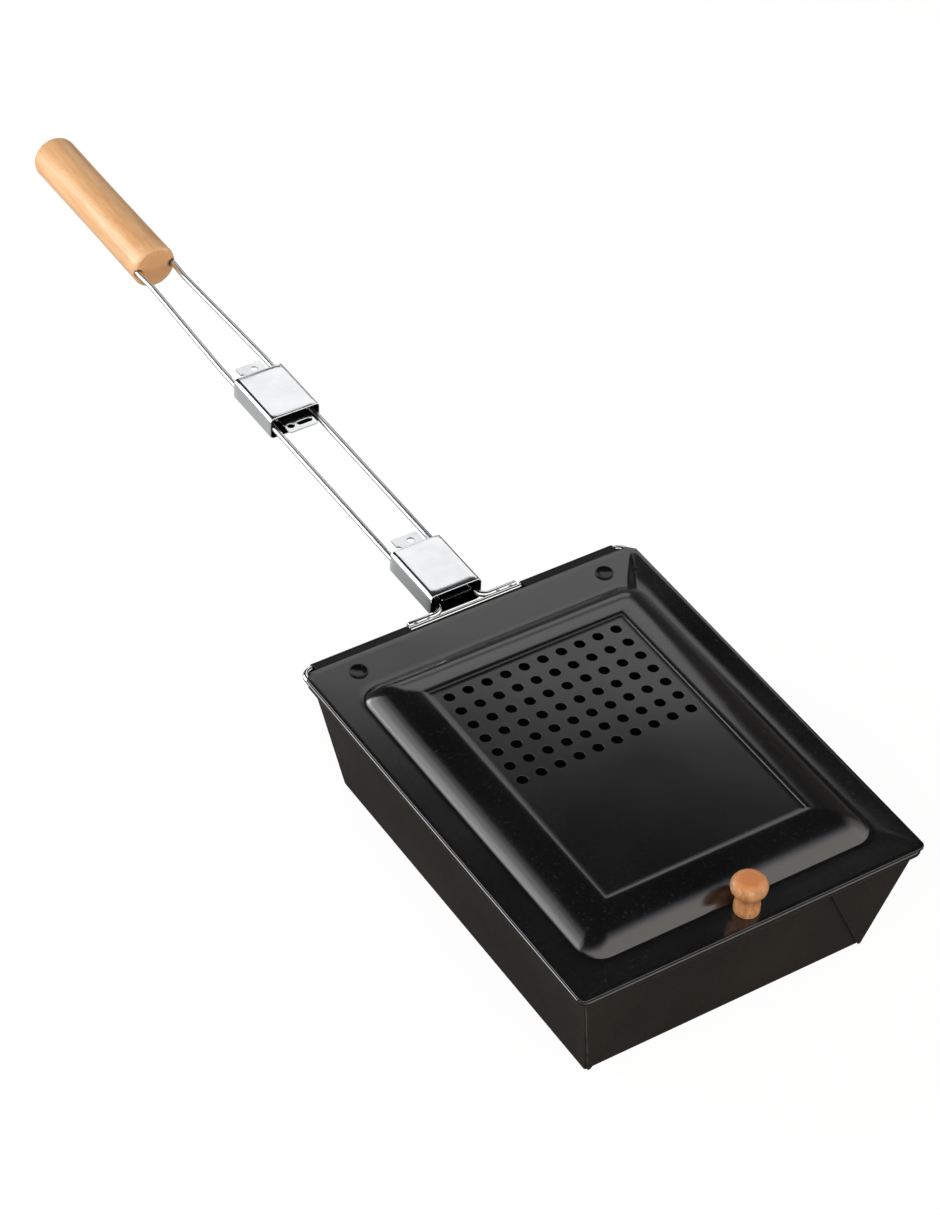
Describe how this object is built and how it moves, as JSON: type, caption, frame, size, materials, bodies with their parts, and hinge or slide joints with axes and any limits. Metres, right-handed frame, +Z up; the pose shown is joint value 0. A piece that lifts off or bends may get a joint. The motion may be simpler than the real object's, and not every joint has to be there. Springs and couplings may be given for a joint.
{
  "type": "camping toaster",
  "caption": "Sheet-steel camping toaster: lidded tray with a vented, knobbed lid on a wire hinge and a long folding wire handle with a wooden grip.",
  "frame": {"origin": "centre of the tray's flat bottom, which the toaster stands on", "axes": "+Z up out of the tray, +Y from the tray's front along the straight handle to the grip, +X to the side"},
  "size_m": [0.18, 0.6446, 0.0865],
  "materials": {
    "coated_steel": "semi-gloss black non-stick coating",
    "dark_rivets": "dark coated rivets",
    "chrome_wire": "bright plated wire",
    "weld_steel": "small plated welds",
    "sleeve_chrome": "bright plated sheet",
    "plate_chrome": "plated hinge plate",
    "screw_steel": "zinc-plated screw and washer",
    "knob_wood": "turned pale wood, light oil",
    "grip_wood": "turned pale wood, light oil"
  },
  "bodies": {
    "tray": {"tray_pan": "coated_steel", "tray_bead": "coated_steel", "tray_back_hem": "coated_steel", "tray_corner_folds": "coated_steel", "rim_wire": "chrome_wire", "stub_left": "chrome_wire", "stub_right": "chrome_wire", "stub_welds": "weld_steel"},
    "lid": {"lid_sheet": "coated_steel", "lid_hinge_left": "coated_steel", "lid_hinge_right": "coated_steel", "lid_rivets": "dark_rivets"},
    "knob_body": {"knob": "knob_wood"},
    "screw_body": {"knob_screw": "screw_steel", "knob_washer": "screw_steel"},
    "middle_section": {"inner_hinge_plate": "plate_chrome", "middle_wire_left": "chrome_wire", "middle_wire_right": "chrome_wire"},
    "inner_sleeve_body": {"inner_sleeve": "sleeve_chrome"},
    "grip_section": {"outer_hinge_plate": "plate_chrome", "grip_wire_left": "chrome_wire", "grip_wire_right": "chrome_wire", "wooden_grip": "grip_wood"},
    "outer_sleeve_body": {"outer_sleeve": "sleeve_chrome"}
  },
  "joints": [
    {"name": "lid_hinge", "type": "hinge", "parent": "tray", "child": "lid", "pos_m": [0, 0.1173, 0.0637], "axis": [1, 0, 0], "range_deg": [-115, 0]},
    {"name": "knob_turn", "type": "hinge", "parent": "lid", "child": "knob_body", "pos_m": [0, -0.10652, 0.0675], "axis": [0, 0, 1], "continuous": true},
    {"name": "knob_screw_turn", "type": "hinge", "parent": "knob_body", "child": "screw_body", "pos_m": [0, -0.10652, 0.0669], "axis": [0, 0, 1], "continuous": true},
    {"name": "inner_fold", "type": "hinge", "parent": "tray", "child": "middle_section", "pos_m": [0, 0.1326, 0.0637], "axis": [1, 0, 0], "range_deg": [0, 156]},
    {"name": "inner_sleeve_slide", "type": "slide", "parent": "middle_section", "child": "inner_sleeve_body", "axis": [0, 1, 0], "range_m": [0, 0.058]},
    {"name": "outer_fold", "type": "hinge", "parent": "middle_section", "child": "grip_section", "pos_m": [0, 0.2805, 0.0637], "axis": [-1, 0, 0], "range_deg": [0, 155]},
    {"name": "outer_sleeve_slide", "type": "slide", "parent": "grip_section", "child": "outer_sleeve_body", "axis": [0, 1, 0], "range_m": [0, 0.057]}
  ],
  "couplings": [
    {"joint": "inner_sleeve_slide", "follows": "inner_fold", "m_per_rad": 0.021},
    {"joint": "outer_sleeve_slide", "follows": "outer_fold", "m_per_rad": 0.021}
  ]
}
